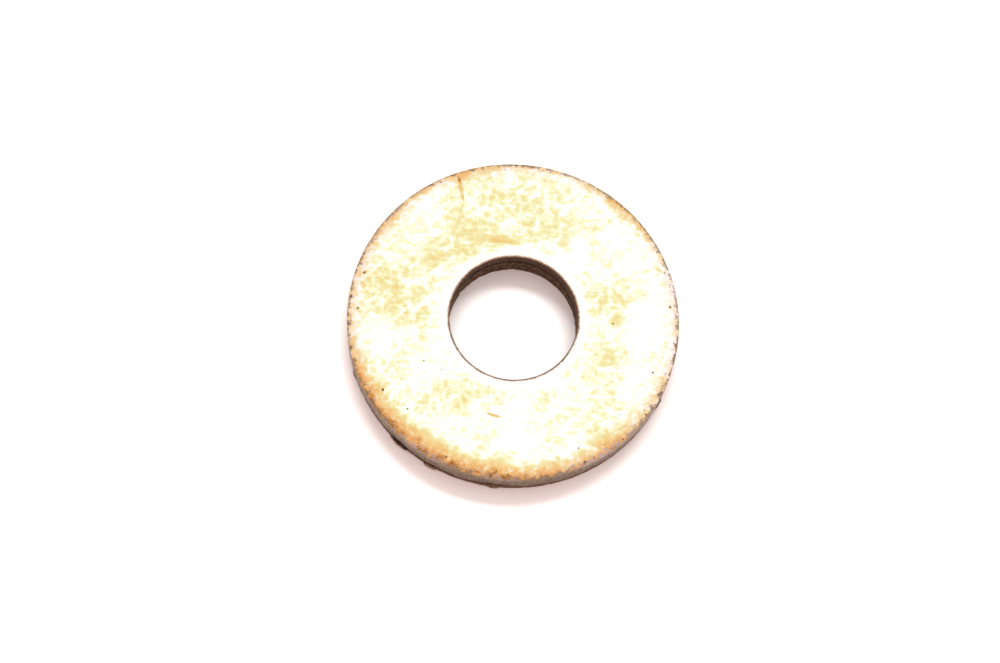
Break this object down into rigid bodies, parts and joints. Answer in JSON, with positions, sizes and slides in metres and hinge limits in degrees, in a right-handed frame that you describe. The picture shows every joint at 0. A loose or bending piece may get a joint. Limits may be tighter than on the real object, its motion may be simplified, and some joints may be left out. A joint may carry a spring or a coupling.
{
  "type": "flat washer",
  "caption": "Flat steel washer with a round central bore, a rolled-over upper rim and a torn lower edge, zinc plated with a worn yellow film.",
  "frame": {"origin": "centre of the bore on the bottom bearing face, the face with the torn edge", "axes": "+Z along the bore, from the bottom bearing face to the top face with the rolled-over rim; X and Y lie in the bearing face"},
  "size_m": [0.022, 0.022, 0.0026],
  "materials": {
    "yellow_zinc_steel": "zinc plated with a worn yellow chromate film"
  },
  "bodies": {
    "root": {"washer": "yellow_zinc_steel"}
  },
  "joints": []
}
